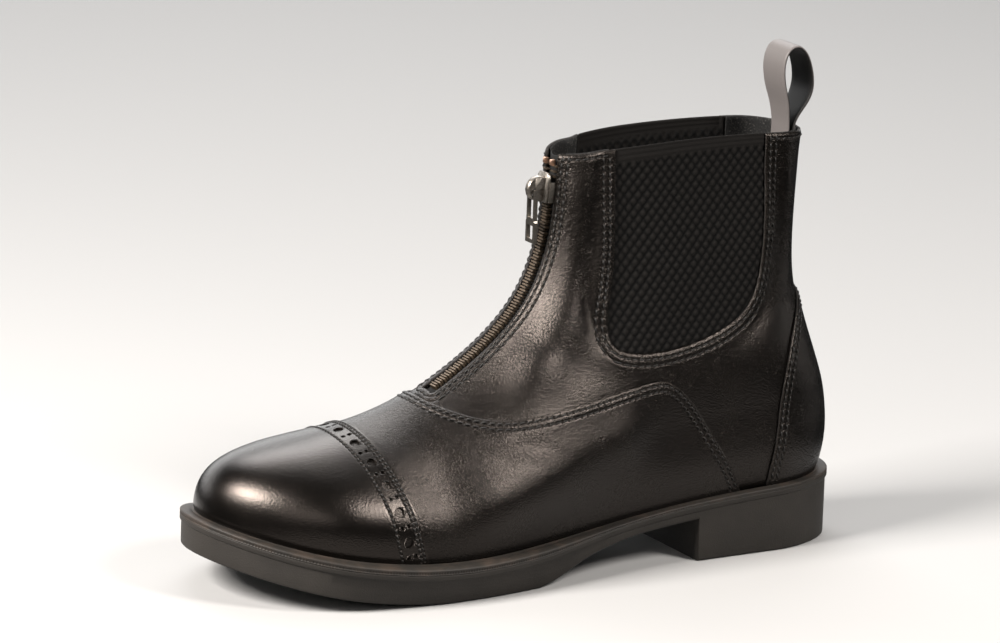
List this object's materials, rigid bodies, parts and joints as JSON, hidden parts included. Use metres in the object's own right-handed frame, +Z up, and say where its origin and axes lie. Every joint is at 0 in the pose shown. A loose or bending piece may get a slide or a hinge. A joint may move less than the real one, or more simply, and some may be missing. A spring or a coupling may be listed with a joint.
{
  "type": "jodhpur boot",
  "caption": "Left ankle-high jodhpur boot: hollow leather upper with front zip, elastic side gussets, punched toe cap, pull loop and a rubber sole with block heel.",
  "frame": {"origin": "on the floor, under the middle of the box round the whole boot", "axes": "+X to the toe, +Y to the wearer's left, the outer side of this left boot, +Z up"},
  "size_m": [0.2816, 0.1029, 0.202],
  "materials": {
    "leather": "black smooth leather, semi-gloss",
    "elastic": "black woven elastic, matt",
    "tape": "black woven tape, matt",
    "insole": "black sock lining, matt",
    "sole": "black moulded rubber, matt",
    "welt": "black welt strip, satin",
    "zip_brass": "antique brass",
    "zip_steel": "antique nickel"
  },
  "bodies": {
    "boot": {"outsole": "sole", "welt": "welt", "insole": "insole", "upper": "leather", "vamp": "leather", "toe_cap": "leather", "heel_counter": "leather", "pull_loop": "leather", "gusset_outer": "elastic", "gusset_inner": "elastic", "zip_tape": "tape", "zip_chain": "zip_brass", "zip_slider": "zip_steel"},
    "zip_pull": {"zip_pull": "zip_steel"}
  },
  "joints": [
    {"name": "zip_pull_swing", "type": "hinge", "parent": "boot", "child": "zip_pull", "pos_m": [-0.0027, 0.00259, 0.15], "axis": [0, -1, 0], "range_deg": [0, 150]}
  ]
}
